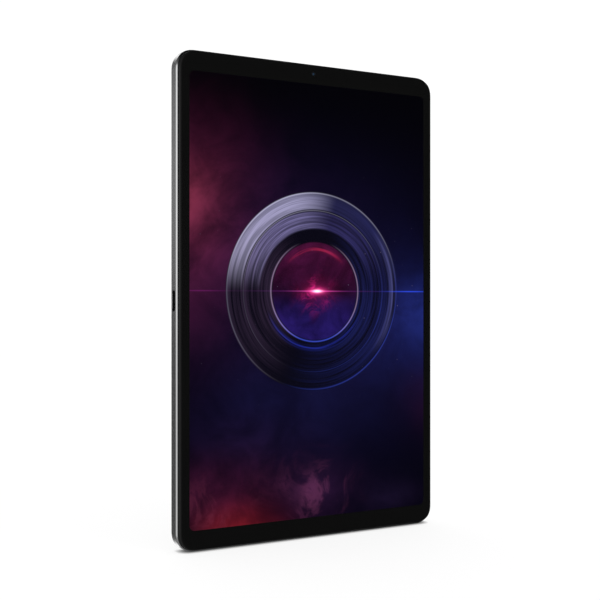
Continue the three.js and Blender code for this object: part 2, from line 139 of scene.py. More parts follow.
def corner_loop(centre, size, reach, power, steps, inset):
    """Points round a rectangle with round corners, drawn in by an inset along their normals.

    A corner is a superellipse quarter: power 2 is a plain arc, a higher power eases into the sides.
    """
    points = []
    for quarter in range(4):
        side_x = 1 if quarter in (0, 3) else -1
        side_z = 1 if quarter in (0, 1) else -1
        for step in range(steps + 1):
            angle = step / steps * math.pi / 2
            if quarter % 2 == 1:
                angle = math.pi / 2 - angle
            along_x = math.cos(angle) ** (2 / power)
            along_z = math.sin(angle) ** (2 / power)
            normal = Vector((along_x ** (power - 1), along_z ** (power - 1))).normalized()
            x = size[0] / 2 - reach + reach * along_x - inset * normal.x
            z = size[1] / 2 - reach + reach * along_z - inset * normal.y
            points.append((centre[0] + side_x * x, centre[1] + side_z * z))
    return points


def outline(inset):
    """The tablet's edge seen from the front, in millimetres."""
    middle = (0, HEIGHT / 2 / MM)
    size = (2 * HALF_WIDTH / MM, HEIGHT / MM)
    return corner_loop(middle, size, CORNER_REACH, CORNER_POWER, CORNER_STEPS, inset)


def window(inset):
    """The edge of the lit screen, with as many points as the outline has."""
    return corner_loop((0, HEIGHT / 2 / MM), WINDOW_SIZE, WINDOW_CORNER, 2.0, CORNER_STEPS, inset)


def stadium(length, height, steps=8):
    """A maker of round-ended slot loops about the origin."""
    return lambda inset: corner_loop((0, 0), (length, height), height / 2 - 0.001, 2.0, steps, inset)


def slab(length, height, radius, steps=4):
    """A maker of rectangle loops about the origin."""
    return lambda inset: corner_loop((0, 0), (length, height), radius, 2.0, steps, inset)


def disc(radius, steps=12):
    """A maker of circles about the origin."""
    return lambda inset: corner_loop((0, 0), (2 * radius, 2 * radius), radius, 2.0, steps, inset)


def rounded(corners, steps=4, closed=False):
    """A section through (inset, depth, radius) corners, with an arc at each radius above zero."""
    section = []
    count = len(corners)
    for i, (inset, depth, radius) in enumerate(corners):
        here = Vector((inset, depth))
        if radius == 0 or (not closed and i in (0, count - 1)):
            section.append(tuple(here))
            continue
        before = (Vector(corners[i - 1][:2]) - here).normalized()
        after = (Vector(corners[(i + 1) % count][:2]) - here).normalized()
        half_angle = before.angle(after) / 2
        tangent = radius / math.tan(half_angle)
        middle = here + (before + after).normalized() * (radius / math.sin(half_angle))
        start = here + before * tangent - middle
        sweep = math.pi - 2 * half_angle
        direction = 1 if before.x * after.y - before.y * after.x < 0 else -1
        for step in range(steps + 1):
            turned = start.copy()
            turned.rotate(Matrix.Rotation(direction * sweep * step / steps, 2))
            section.append(tuple(middle + turned))
    return section


def place(origin, across, inward, up):
    """The matrix that sets a piece built across X, into Y and up Z at a place on the tablet."""
    matrix = Matrix((across, inward, up)).transposed().to_4x4()
    matrix.translation = Vector(origin)
    return matrix


def in_front_view(x=0.0, z=0.0):
    """For pieces stacked behind the glass: Y is the depth, and x and z are millimetres."""
    return place((x * MM, FRONT, z * MM), (1, 0, 0), (0, 1, 0), (0, 0, 1))


def in_line_with(node):
    """For pieces about the middle of a node as seen from the front, with Y as the depth."""
    middle = centre_of(node)
    return in_front_view(middle.x / MM, middle.z / MM)


def on_right(z, depth=EDGE_AXIS):
    return place((HALF_WIDTH, depth_to_y(depth), z * MM), (0, 0, 1), (-1, 0, 0), (0, 1, 0))


def on_left(z, depth=PORT_AXIS):
    return place((-HALF_WIDTH, depth_to_y(depth), z * MM), (0, 0, 1), (1, 0, 0), (0, 1, 0))


def on_bottom(x, depth=EDGE_AXIS):
    return place((x * MM, depth_to_y(depth), 0), (1, 0, 0), (0, 0, 1), (0, 1, 0))


def on_top(x, depth=EDGE_AXIS):
    return place((x * MM, depth_to_y(depth), HEIGHT), (1, 0, 0), (0, 0, -1), (0, 1, 0))


def loft(mesh, loops, where, closed=False, paint=0):
    """Skins the loops, given as (points, depth), in millimetres; ends are capped unless closed."""
    rows = []
    for points, depth in loops:
        places = [where @ Vector((x * MM, depth * MM, z * MM)) for x, z in points]
        rows.append([mesh.verts.new(position) for position in places])
    faces = []
    for near, far in zip(rows, rows[1:] + rows[:1] if closed else rows[1:]):
        for i in range(len(near)):
            j = (i + 1) % len(near)
            faces.append(mesh.faces.new((near[i], near[j], far[j], far[i])))
    if not closed:
        faces.append(mesh.faces.new(rows[0]))
        faces.append(mesh.faces.new(rows[-1]))
    for face in faces:
        face.material_index = paint


def shaped(mesh, section, shape, where, closed=False, paint=0):
    """Skins one shape along a section of (inset, depth) pairs."""
    loft(mesh, [(shape(inset), depth) for inset, depth in section], where, closed, paint)


def solid(name, *builds, materials=()):
    """One object from functions that each add to a fresh mesh."""
    mesh = bmesh.new()
    for build in builds:
        build(mesh)
    bmesh.ops.remove_doubles(mesh, verts=mesh.verts, dist=1e-8)
    bmesh.ops.recalc_face_normals(mesh, faces=mesh.faces)
    data = bpy.data.meshes.new(name)
    mesh.to_mesh(data)
    mesh.free()
    for material in materials:
        data.materials.append(material)
    shade(data)
    thing = bpy.data.objects.new(name, data)
    bpy.context.scene.collection.objects.link(thing)
    return thing


def shade(data):
    """Smooth shading that breaks at sharp edges."""
    data.polygons.foreach_set("use_smooth", [True] * len(data.polygons))
    data.set_sharp_from_angle(angle=math.radians(SHARP_EDGE_DEGREES))


def combine(thing, others, operation):
    """Joins or cuts a piece with others, which are used up."""
    group = bpy.data.collections.new("tools")
    for other in others:
        group.objects.link(other)
    modifier = thing.modifiers.new("combine", "BOOLEAN")
    modifier.operation = operation
    modifier.operand_type = "COLLECTION"
    modifier.collection = group
    modifier.solver = "EXACT"
    bpy.context.view_layer.update()
    evaluated = thing.evaluated_get(bpy.context.evaluated_depsgraph_get())
    data = bpy.data.meshes.new_from_object(evaluated)
    thing.modifiers.clear()
    old, thing.data = thing.data, data
    bpy.data.meshes.remove(old)
    for other in others:
        used = other.data
        bpy.data.objects.remove(other)
        bpy.data.meshes.remove(used)
    bpy.data.collections.remove(group)
    data.name = thing.name
    shade(data)
    return thing


def cutter(section, shape, where):
    """A plain shape for combine, which uses it up."""
    return solid("cutter", lambda mesh: shaped(mesh, section, shape, where))


def mouth(shape, where, flare, reach=WALL + 1.0):
    """A cutter for a hole in a wall, with a chamfered mouth as wide as its flare."""
    section = [(-flare - 0.3, -0.3), (0, flare), (0, reach)]
    return cutter(section, shape, where)


# ---------------------------------------------------------------- shader tools


def linear(red, green, blue):
    """A screen colour from 0 to 255 as linear light."""
    return tuple(
        v / 12.92 if v <= 0.04045 else ((v + 0.055) / 1.055) ** 2.4
        for v in (red / 255, green / 255, blue / 255)
    )


def feed(tree, socket, value):
    """Links a shader value into a socket, or sets the socket to a plain number or colour."""
    if isinstance(value, Value):
        tree.links.new(value.socket, socket)
    elif isinstance(value, bpy.types.NodeSocket):
        tree.links.new(value, socket)
    elif isinstance(value, (tuple, list)) and len(socket.default_value) == 4:
        socket.default_value = (*value, 1.0)
    else:
        socket.default_value = value


class Value:
    """A number inside a node tree. Arithmetic on it adds Math nodes."""

    def __init__(self, tree, socket):
        self.tree = tree
        self.socket = socket

    def math(self, operation, *others):
        node = self.tree.nodes.new("ShaderNodeMath")
        node.operation = operation
        for socket, value in zip(node.inputs, (self, *others)):
            feed(self.tree, socket, value)
        return Value(self.tree, node.outputs[0])

    def __add__(self, other):
        return self.math("ADD", other)

    def __sub__(self, other):
        return self.math("SUBTRACT", other)

    def __mul__(self, other):
        return self.math("MULTIPLY", other)

    def __truediv__(self, other):
        return self.math("DIVIDE", other)

    def above(self, other):
        return self.math("MAXIMUM", other)

    def below(self, other):
        return self.math("MINIMUM", other)

    def ramp(self, start, end, low=0.0, high=1.0):
        """Eases from low to high as the number goes from start to end."""
        node = self.tree.nodes.new("ShaderNodeMapRange")
        node.interpolation_type = "SMOOTHSTEP"
        for socket, value in zip(node.inputs, (self, start, end, low, high)):
            feed(self.tree, socket, value)
        return Value(self.tree, node.outputs[0])

    def bell(self, middle, width):
        """A smooth bump of height 1 about a middle."""
        scaled = (self - middle) / width
        return (scaled * scaled * -1.0).math("EXPONENT")


class Look:
    """A material with a Principled shader, and the textures that feed it."""

    def __init__(self, name, **settings):
        self.material = bpy.data.materials.new(name)
        self.material.use_nodes = True
        self.tree = self.material.node_tree
        self.shader = self.tree.nodes["Principled BSDF"]
        coordinates = self.tree.nodes.new("ShaderNodeTexCoord")
        self.place = coordinates.outputs["Object"]
        self.set(**settings)

    def set(self, **settings):
        """Sets sockets of the shader, named with underscores, to numbers, colours or textures."""
        for name, value in settings.items():
            feed(self.tree, self.shader.inputs[name.replace("_", " ")], value)

    def stretched(self, scale):
        """The object's coordinates, scaled along each axis."""
        node = self.tree.nodes.new("ShaderNodeMapping")
        node.inputs["Scale"].default_value = scale
        self.tree.links.new(self.place, node.inputs["Vector"])
        return node.outputs[0]

    def noise(self, scale, detail=2.0, roughness=0.5, distortion=0.0, vector=None):
        """Soft random lumps, from 0 to 1 about a half."""
        node = self.tree.nodes.new("ShaderNodeTexNoise")
        self.tree.links.new(vector or self.place, node.inputs["Vector"])
        node.inputs["Scale"].default_value = scale
        node.inputs["Detail"].default_value = detail
        node.inputs["Roughness"].default_value = roughness
        node.inputs["Distortion"].default_value = distortion
        return Value(self.tree, node.outputs[0])

    def cells(self, scale, vector=None, dimensions="3D"):
        """Distance to the nearest of scattered points, and a random colour for each."""
        node = self.tree.nodes.new("ShaderNodeTexVoronoi")
        node.voronoi_dimensions = dimensions
        node.inputs["Scale"].default_value = scale
        self.tree.links.new(vector or self.place, node.inputs["Vector"])
        return Value(self.tree, node.outputs["Distance"]), node.outputs["Color"]

    def wave(self, scale, axis):
        """Even bands across an axis."""
        node = self.tree.nodes.new("ShaderNodeTexWave")
        node.bands_direction = axis
        node.inputs["Scale"].default_value = scale
        self.tree.links.new(self.place, node.inputs["Vector"])
        return Value(self.tree, node.outputs["Fac"])

    def mix(self, factor, first, second):
        """A colour between two, as the factor goes from 0 to 1."""
        node = self.tree.nodes.new("ShaderNodeMix")
        node.data_type = "RGBA"
        feed(self.tree, node.inputs[0], factor)
        feed(self.tree, node.inputs[6], first)
        feed(self.tree, node.inputs[7], second)
        return node.outputs[2]

    def bump(self, height, distance, strength=1.0):
        """Relief from a height pattern; the distance is in metres."""
        node = self.tree.nodes.new("ShaderNodeBump")
        node.inputs["Strength"].default_value = strength
        node.inputs["Distance"].default_value = distance
        feed(self.tree, node.inputs["Height"], height)
        self.tree.links.new(node.outputs[0], self.shader.inputs["Normal"])


# ---------------------------------------------------------------- materials


def tinted(colour, factor):
    """A colour made darker or lighter, up to white."""
    return tuple(min(v * factor, 1) for v in colour)


def metal(name, colour, roughness):
    """Bead-blasted, anodised aluminium: a fine even grain with a faint cloudiness."""
    look = Look(name, Metallic=1.0)
    cloud = look.noise(22.0, 3.0)
    speck = look.noise(5200.0, 2.0)
    look.set(Base_Color=look.mix(cloud, tinted(colour, 0.94), tinted(colour, 1.06)))
    look.set(Roughness=cloud * 0.05 + speck * 0.06 + (roughness - 0.055))
    look.bump(speck, 0.000004, 0.4)
    return look.material


def polished(name, colour, roughness):
    """Diamond-cut metal with faint turning marks."""
    look = Look(name, Metallic=1.0)
    marks = look.noise(900.0, 2.0, vector=look.stretched((1, 1, 0.08)))
    look.set(Base_Color=look.mix(marks, tinted(colour, 0.94), colour))
    look.set(Roughness=marks * 0.08 + (roughness - 0.04))
    return look.material


def plastic(name, colour, roughness, texture=0.3):
    """Moulded plastic with a fine spark texture."""
    look = Look(name)
    speck = look.noise(3800.0, 3.0)
    cloud = look.noise(60.0, 2.0)
    look.set(Base_Color=look.mix(cloud, tinted(colour, 0.85), tinted(colour, 1.12)))
    look.set(Roughness=speck * 0.12 + (roughness - 0.06))
    look.bump(speck, 0.000008, texture)
    return look.material


def brushed(name, colour, roughness):
    """Rolled or brushed sheet metal with long fine lines."""
    look = Look(name, Metallic=1.0)
    lines = look.noise(6000.0, 3.0, vector=look.stretched((1, 1, 0.03)))
    cloud = look.noise(40.0, 3.0)
    look.set(Base_Color=look.mix(lines, tinted(colour, 0.82), tinted(colour, 1.1)))
    look.set(Roughness=lines * 0.14 + cloud * 0.06 + (roughness - 0.1))
    look.bump(lines, 0.000003, 0.5)
    return look.material


def black_glass():
    """The printed black border under the cover glass."""
    look = Look("border_glass")
    haze = look.noise(35.0, 4.0, 0.6)
    look.set(Base_Color=look.mix(haze, (0.0034, 0.0034, 0.0034), (0.0040, 0.0040, 0.0040)))
    look.set(Roughness=haze * 0.03 + 0.03)
    return look.material


def lens_glass(name, deep, tint):
    """Coated optical glass: nearly black, with the coating's coloured reflection painted into its
    colour as a faintly uneven tint.
    """
    look = Look(name, Specular_IOR_Level=0.6)
    ripple = look.noise(800.0, 2.0)
    # Painted reflection: the tint colour, mixed in by the ripple, stands in for the coloured
    # reflection of the lens coating.
    look.set(Base_Color=look.mix(ripple * 0.6, deep, tint))
    look.set(Roughness=ripple * 0.02 + 0.03)
    return look.material


def circuit_board():
    """Green solder mask with paler copper tracks and small tinned pads."""
    look = Look("circuit_board", Metallic=0.0, Roughness=0.35)
    tracks = look.wave(900.0, "Z") * look.noise(260.0, 1.0).ramp(0.5, 0.56)
    crossing = look.wave(900.0, "X") * look.noise(240.0, 1.0).ramp(0.52, 0.58)
    pads, _ = look.cells(1100.0)
    copper = tracks.above(crossing).ramp(0.6, 0.7)
    mask = look.mix(copper, (0.006, 0.045, 0.026), (0.012, 0.1, 0.05))
    look.set(Base_Color=look.mix(pads.ramp(0.2, 0.16), mask, (0.55, 0.5, 0.38)))
    look.bump(copper, 0.00002, 0.6)
    return look.material


def flex_circuit():
    """Amber polyimide with fine parallel tracks."""
    look = Look("flex_circuit", Roughness=0.4)
    tracks = look.wave(1600.0, "X").ramp(0.45, 0.6)
    cloud = look.noise(90.0, 3.0)
    amber = look.mix(cloud, (0.15, 0.05, 0.008), (0.22, 0.08, 0.015))
    look.set(Base_Color=look.mix(tracks, amber, (0.36, 0.15, 0.04)))
    look.bump(tracks, 0.00001, 0.5)
    return look.material


def battery_pouch():
    """The dark laminated foil of a cell, faintly wrinkled."""
    look = Look("battery_pouch", Metallic=0.3)
    wrinkle = look.noise(130.0, 5.0, 0.65, 0.6)
    look.set(Base_Color=look.mix(wrinkle, (0.010, 0.010, 0.012), (0.03, 0.03, 0.034)))
    look.set(Roughness=wrinkle * 0.2 + 0.25)
    look.bump(wrinkle, 0.0002, 0.5)
    return look.material


def wire_mesh():
    """A woven wire cloth behind the speaker slots."""
    look = Look("wire_mesh", Metallic=0.9, Roughness=0.45)
    weave = look.wave(2600.0, "X").below(look.wave(2600.0, "Y").above(look.wave(2600.0, "Z")))
    look.set(Base_Color=look.mix(weave.ramp(0.2, 0.8), (0.004, 0.004, 0.004), (0.09, 0.09, 0.095)))
    look.bump(weave, 0.00005, 0.8)
    return look.material


def film(name, low, high, roughness):
    """A clear or white optical sheet with a faint pearl."""
    look = Look(name)
    pearl = look.noise(300.0, 3.0)
    look.set(Base_Color=look.mix(pearl, low, high))
    look.set(Roughness=pearl * 0.1 + roughness)
    return look.material


# ---------------------------------------------------------------- the picture on the screen


class Picture(Look):
    """A lit picture: layers of coloured light added up in millimetres about the screen's centre."""

    def __init__(self, name, **settings):
        super().__init__(name, **settings)
        split = self.tree.nodes.new("ShaderNodeSeparateXYZ")
        self.tree.links.new(self.place, split.inputs[0])
        self.x = (Value(self.tree, split.outputs["X"]) - SCREEN_CENTRE.x) / MM
        self.z = (Value(self.tree, split.outputs["Z"]) - SCREEN_CENTRE.z) / MM
        self.light = None

    def flat(self, seed):
        """A vector for textures on the picture plane; each seed gives another cut of the noise."""
        node = self.tree.nodes.new("ShaderNodeCombineXYZ")
        for socket, value in zip(node.inputs, (self.x, self.z, seed)):
            feed(self.tree, socket, value)
        return node.outputs[0]

    def cloud(self, seed, size, detail=6.0, roughness=0.55, distortion=0.0):
        """Noise on the picture plane, with lumps of about a size in millimetres."""
        return self.noise(1 / size, detail, roughness, distortion, self.flat(seed))

    def ridges(self, seed, size):
        """Fine bright strands, where a noise crosses its middle value."""
        across = self.cloud(seed, size, 8, 0.62, 0.9) - 0.5
        return across.bell(0, 0.045) * self.cloud(seed + 5, size, 4).ramp(0.35, 0.7)

    def spot(self, x, z, wide, high):
        """A soft oval of light."""
        return self.x.bell(x, wide) * self.z.bell(z, high)

    def scaled(self, colour, weight):
        """A colour, plain or from a socket, times a weight."""
        node = self.tree.nodes.new("ShaderNodeVectorMath")
        node.operation = "SCALE"
        feed(self.tree, node.inputs[0], colour)
        feed(self.tree, node.inputs["Scale"], weight)
        return node.outputs[0]

    def add(self, colour, weight):
        """Adds a colour, as linear light, where the weight is above zero."""
        layer = self.scaled(colour, weight)
        if self.light is None:
            self.light = layer
            return
        total = self.tree.nodes.new("ShaderNodeVectorMath")
        total.operation = "ADD"
        self.tree.links.new(self.light, total.inputs[0])
        self.tree.links.new(layer, total.inputs[1])
        self.light = total.outputs[0]

    def dim(self, weight):
        """Multiplies all the light so far."""
        self.light = self.scaled(self.light, weight)


def nebula(picture):
    """Dark sky with a red cloud on the left, a blue one on the right and wisps along the bottom."""
    broad = picture.cloud(3.1, 58, 3)
    fine = picture.cloud(7.7, 22, 9, 0.6, 0.5)
    soft = fine.ramp(0.25, 0.75, 0.3, 1.2) * broad.ramp(0.3, 0.7, 0.65, 1.1)
    strands = picture.ridges(15.5, 26)

    picture.add(linear(2, 1, 8), picture.z.ramp(200, -100, 1.0, 1.3))
    picture.add(linear(11, 10, 37), picture.spot(14, -8, 50, 56))
    picture.add(linear(25, 11, 40), picture.spot(-22, 20, 36, 40) * soft)
    picture.add(linear(92, 32, 38), picture.spot(-66, 42, 20, 20) * soft)
    picture.add(linear(70, 17, 40), picture.spot(-64, 34, 32, 40) * soft)
    picture.add(linear(28, 8, 28), picture.spot(-68, -2, 20, 30) * soft)
    picture.add(linear(56, 15, 38), picture.spot(-64, 70, 22, 16) * soft)
    picture.add(linear(26, 38, 108), picture.spot(68, -5, 20, 16) * soft)
    picture.add(linear(13, 18, 62), picture.spot(50, -8, 30, 28) * soft)
    picture.add(linear(24, 4, 18), picture.spot(62, -46, 14, 14) * broad.ramp(0.3, 0.6))
    picture.add(linear(8, 11, 40), picture.spot(-18, -42, 42, 22) * soft)

    low = picture.z.ramp(-54, -88)
    picture.add(linear(68, 19, 46), picture.spot(-46, -76, 26, 16) * soft * low)
    picture.add(linear(22, 9, 32), picture.spot(-30, -60, 26, 12) * soft)
    picture.add(linear(140, 29, 33), picture.spot(-36, -99, 16, 11) * soft * low)
    picture.add(linear(66, 24, 37), picture.spot(-48, -90, 20, 15) * strands)
    picture.add(linear(80, 36, 62), picture.spot(-2, -82, 16, 14) * strands * low)
    picture.add(linear(36, 15, 42), picture.spot(0, -82, 20, 14) * soft * low)
    picture.add(linear(24, 15, 38), picture.spot(40, -90, 14, 7) * soft)
    picture.dim(picture.z.ramp(96, 44, 0.35, 1.0))


def stars(picture):
    """A few small scattered stars, thickest level with the middle."""
    belt = picture.z.bell(5, 40) * picture.x.ramp(-10, 30, 0.45, 1.0)
    for seed, spacing, size, strength in ((0.0, 9.0, 0.03, 0.3), (40.0, 4.0, 0.04, 0.1)):
        distance, tint = picture.cells(1 / spacing, picture.flat(seed), "2D")
        split = picture.tree.nodes.new("ShaderNodeSeparateColor")
        picture.tree.links.new(tint, split.inputs[0])
        chosen = Value(picture.tree, split.outputs[0]).ramp(0.7, 1.0)
        picture.add(linear(205, 190, 235), distance.ramp(size, 0.0) * chosen * belt * strength)


def eclipse(picture):
    """A plain round band of dark gas, lit lavender from above and blue from below right."""
    x = picture.x - DISC_CENTRE[0]
    z = picture.z - DISC_CENTRE[1]
    radius = (x * x + z * z).math("SQRT")
    right = x / radius.above(0.5)
    upward = z / radius.above(0.5)
    downward = upward * -1.0
    inside = radius.ramp(DISC_OUTER, DISC_OUTER - 0.6)
    hole = radius.ramp(DISC_INNER + 0.4, DISC_INNER - 0.4)
    band = inside - hole
    picture.dim(inside * -0.97 + 1.0)

    swirl = picture.tree.nodes.new("ShaderNodeCombineXYZ")
    for socket, value in zip(swirl.inputs, (radius * 0.9, right * 0.7, upward * 0.7)):
        feed(picture.tree, socket, value)
    grooves = picture.noise(1.0, 4.0, 0.6, vector=swirl.outputs[0]).ramp(0.32, 0.68)
    outer = radius.ramp(35.6, 36.6) * radius.ramp(43.4, 42.4)
    middle = radius.ramp(27.0, 28.4) * radius.ramp(35.4, 34.8)

    top = upward.ramp(0.05, 1.0)
    top_left = (upward * 0.78 - right * 0.6).ramp(0.58, 0.97)
    low_right = (right * 0.7 - upward * 0.7).ramp(0.3, 1.0)
    left = (right * -1.0).ramp(0.3, 1.0)
    picture.add(linear(7, 6, 17), band)
    picture.add(linear(32, 32, 68), outer * top * grooves.ramp(0, 1, 0.55, 1.0))
    picture.add(linear(160, 156, 186), outer * top_left * grooves.ramp(0, 1, 0.5, 1.0))
    picture.add(linear(46, 42, 86), middle * top * grooves.ramp(0, 1, 0.35, 1.0))
    picture.add(linear(110, 104, 138), middle * top_left * grooves.ramp(0, 1, 0.3, 1.0))
    picture.add(linear(46, 34, 52), band * grooves * left * 0.8)
    picture.add(linear(66, 66, 104), radius.bell(41.0, 1.6) * grooves * right.ramp(0.7, 1.0))
    picture.add(linear(14, 20, 66), band * grooves * low_right * 0.7)
    picture.add(linear(22, 25, 70), band * grooves * right.ramp(0.2, 1.0) * 0.7)

    rim = radius.bell(43.2, 0.28) + radius.bell(35.5, 0.16) * 0.5
    lip = radius.bell(DISC_INNER + 0.7, 0.28)
    picture.add(linear(206, 204, 235), rim * (top * 0.3 + top_left * 0.35 + left * 0.1))
    picture.add(linear(190, 160, 200), lip * (left + right.ramp(0.3, 1.0)) * 0.45)
    picture.add(linear(70, 92, 235), rim * low_right * 0.25 + lip * downward.ramp(0.2, 1.0) * 0.6)
    picture.add(linear(40, 56, 190), radius.bell(25.2, 0.8) * downward.ramp(0.3, 1.0) * grooves * 0.6)

    haze = picture.cloud(31.0, 12.0, 7, 0.6, 0.5).ramp(0.25, 0.75, 0.35, 1.1)
    near_edge = radius.ramp(2, DISC_INNER, 0.4, 1.0)
    picture.add(linear(24, 9, 38), hole * haze)
    picture.add(linear(70, 9, 40), hole * haze * near_edge * upward.ramp(-0.4, 0.9))
    picture.add(linear(36, 28, 118), hole * haze * near_edge * downward.ramp(-0.1, 1.0) * 0.7)
    glints = picture.ridges(52.0, 9.0)
    arc = radius.bell(18.6, 0.9) * upward.ramp(0.6, 0.95)
    picture.add(linear(240, 52, 96), hole * arc * grooves * 0.35)
    picture.add(linear(214, 30, 120), hole * radius.bell(0, 6.5) * glints * 0.9)


def flare(picture):
    """The bright point in the middle with its level streak."""
    x = picture.x - DISC_CENTRE[0] - 1.0
    z = picture.z - DISC_CENTRE[1]
    picture.add(linear(255, 225, 240), x.bell(0, 2.0) * z.bell(0, 0.55) * 1.6)
    picture.add(linear(255, 60, 150), x.bell(0, 4.0) * z.bell(0, 1.4) * 0.8)
    picture.add(linear(150, 20, 80), x.bell(0, 8.0) * z.bell(0, 5.0) * 0.3)
    thin = z.bell(0, 0.25)
    picture.add(linear(255, 80, 170), thin * x.bell(0, 9.0) * 0.7)
    picture.add(linear(110, 40, 130), thin * x.bell(0, 26.0) * 0.4)
    picture.add(linear(40, 76, 240), thin * x.bell(50, 11.0) * 0.8)
    picture.add(linear(120, 24, 110), thin * x.bell(-56, 9.0) * 0.4)


def screen_picture():
    """The lit picture under glass as dark and smooth as the border's."""
    picture = Picture("screen_picture", Emission_Strength=1.0)
    nebula(picture)
    eclipse(picture)
    stars(picture)
    flare(picture)
    haze = picture.noise(35.0, 4.0, 0.6)
    picture.set(Base_Color=picture.mix(haze, (0.0003, 0.0003, 0.0006), (0.0006, 0.0005, 0.0009)))
    picture.set(Roughness=haze * 0.03 + 0.03)
    picture.set(Emission_Color=picture.light)
    return picture.material


looks = {
    "housing_metal": metal("housing_metal", (0.122, 0.122, 0.124), 0.25),
    "polished_metal": polished("polished_metal", (0.66, 0.66, 0.665), 0.14),
    "antenna_plastic": plastic("antenna_plastic", (0.075, 0.078, 0.086), 0.42),
    "black_plastic": plastic("black_plastic", (0.006, 0.006, 0.0065), 0.45),
    "cover_glass": black_glass(),
    "screen": screen_picture(),
    "clear_plastic": film("clear_plastic", (0.62, 0.66, 0.70), (0.74, 0.78, 0.81), 0.1),
    "white_plastic": film("white_plastic", (0.74, 0.74, 0.71), (0.84, 0.84, 0.82), 0.45),
    "steel": brushed("steel", (0.52, 0.53, 0.55), 0.36),
    "dark_steel": brushed("dark_steel", (0.10, 0.103, 0.112), 0.34),
    "copper": brushed("copper", (0.70, 0.33, 0.16), 0.34),
    "gold": brushed("gold", (0.80, 0.55, 0.22), 0.28),
    "circuit_board": circuit_board(),
    "flex_circuit": flex_circuit(),
    "battery_pouch": battery_pouch(),
    "speaker_membrane": plastic("speaker_membrane", (0.012, 0.0125, 0.014), 0.6, 0.5),
    "wire_mesh": wire_mesh(),
    # The second colour of each lens is the painted reflection tint of its coating.
    "camera_glass": lens_glass("camera_glass", (0.002, 0.003, 0.006), (0.02, 0.03, 0.09)),
    "front_lens": lens_glass("front_lens", (0.008, 0.02, 0.04), (0.035, 0.075, 0.13)),
}

# Every carried-over node takes the look of its own slot.
for part in frame["record"]["subparts"]:
    node = frame["nodes"][part["node"]]
    node.data.materials.clear()
    node.data.materials.append(looks[part["material_slot"]])


def stands_for(piece, node):
    """A visible piece takes a node's place, on its body."""
    bodies = frame["record"]["behaviour"]["bodies"]
    body = next(name for name, members in bodies.items() if node in members)
    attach(piece, body)
    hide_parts(node)
    return piece


# ---------------------------------------------------------------- rear housing


def housing_section():
    """From the inside of the back plate round the front lip and its chamfer to the outer back."""
    return rounded([
        (WALL, BACK_INSIDE, 0),
        (WALL, LIP_DEPTH, 0.06),
        (CHAMFER, LIP_DEPTH, 0.07),
        (0, LIP_DEPTH + CHAMFER, 0.12),
        (0, LIP_DEPTH + CHAMFER + 0.35, 0),
        (0, THICKNESS - FILLET - 0.15, 0),
        (0, THICKNESS, FILLET),
        (FILLET + 0.35, THICKNESS, 0),
    ], steps=8)


def window_seat(node):
    """The flush seat of an antenna window and the smaller hole through it."""
    size = size_of(node)
    where = in_line_with(node)
    seat = slab(size.x + 0.16, size.z + 0.16, 1.6, 6)
    hole = slab(size.x - 2.4, size.z - 2.4, 0.8, 6)
    return [
        cutter([(0, depth_of(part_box(node)[0].y) - 0.05), (0, THICKNESS + 1)], seat, where),
        cutter([(0, BACK_INSIDE - 1), (0, THICKNESS)], hole, where),
    ]


def slot_positions(node):
    """The row of slots in front of a speaker's mesh."""
    middle = centre_of(node).x / MM
    return [middle + (i - (SLOT_COUNT - 1) / 2) * SLOT_PITCH for i in range(SLOT_COUNT)]


def hole_in_wall(shape, play, where, flare):
    """A slot with play all round the piece that fills it."""
    return mouth(stadium(shape[0] + play, shape[1] + play), where, flare)


def rear_housing():
    """The metal shell with its screw bosses and every opening through it."""
    shell = solid(
        "rear_housing_shell",
        lambda mesh: shaped(mesh, housing_section(), outline, in_front_view()),
        materials=(looks["housing_metal"], looks["polished_metal"]),
    )
    for face in shell.data.polygons:
        depth = depth_of(face.center.y)
        facing_out = face.normal.y < -0.3
        if facing_out and LIP_DEPTH + 0.02 < depth < LIP_DEPTH + CHAMFER + 0.02:
            face.material_index = 1
    bosses = []
    threads = []
    boss = rounded([(0, BACK_INSIDE + 0.2, 0), (0, 2.75, 0.15), (1.0, 2.75, 0)])
    for i in range(1, 7):
        where = in_line_with(f"mid_plate_screw_{i}")
        bosses.append(cutter(boss, disc(BOSS_RADIUS), where))
        threads.append(cutter([(0, 2), (0, 5.4)], disc(THREAD_RADIUS), where))
    combine(shell, bosses, "UNION")

    port = stadium(*PORT_MOUTH, PORT_STEPS)
    slot = stadium(*SLOT_SIZE)
    microphone = disc(MICROPHONE_RADIUS)
    power = on_right(centre_of("power_button").z / MM)
    volume = on_right(centre_of("volume_rocker").z / MM)
    card = on_right(centre_of("card_tray").z / MM)
    card_size = size_of("card_tray")
    camera_bore = [(0, BACK_INSIDE - 1), (0, THICKNESS + 1)]
    flash_bore = [(0, BACK_INSIDE - 1), (0, THICKNESS - 0.12), (-0.5, THICKNESS + 0.38)]
    tools = [
        *threads,
        mouth(port, on_left(HEIGHT / 2 / MM), 0.22),
        mouth(port, on_bottom(0, PORT_AXIS), 0.22),
        hole_in_wall((POWER_LENGTH, BUTTON_HEIGHT), BUTTON_PLAY, power, 0.14),
        hole_in_wall((VOLUME_LENGTH, BUTTON_HEIGHT), BUTTON_PLAY, volume, 0.14),
        hole_in_wall((card_size.z, card_size.y), CARD_PLAY, card, 0.06),
        mouth(microphone, on_top(TOP_MICROPHONE_X), 0.1),
        mouth(microphone, on_bottom(BOTTOM_MICROPHONE_X), 0.1),
        cutter(camera_bore, disc(CAMERA_HOLE_RADIUS, 16), in_line_with("rear_camera_ring")),
        cutter(flash_bore, disc(FLASH_HOLE_RADIUS), in_line_with("flash_lens")),
        *window_seat("top_antenna_window"),
        *window_seat("bottom_antenna_window"),
        *[mouth(slot, on_top(x), 0.12) for x in slot_positions("top_speaker_mesh")],
        *[mouth(slot, on_bottom(x), 0.12) for x in slot_positions("bottom_speaker_mesh")],
    ]
    return combine(shell, tools, "DIFFERENCE")


stands_for(rear_housing(), "rear_housing")

# ---------------------------------------------------------------- antenna windows


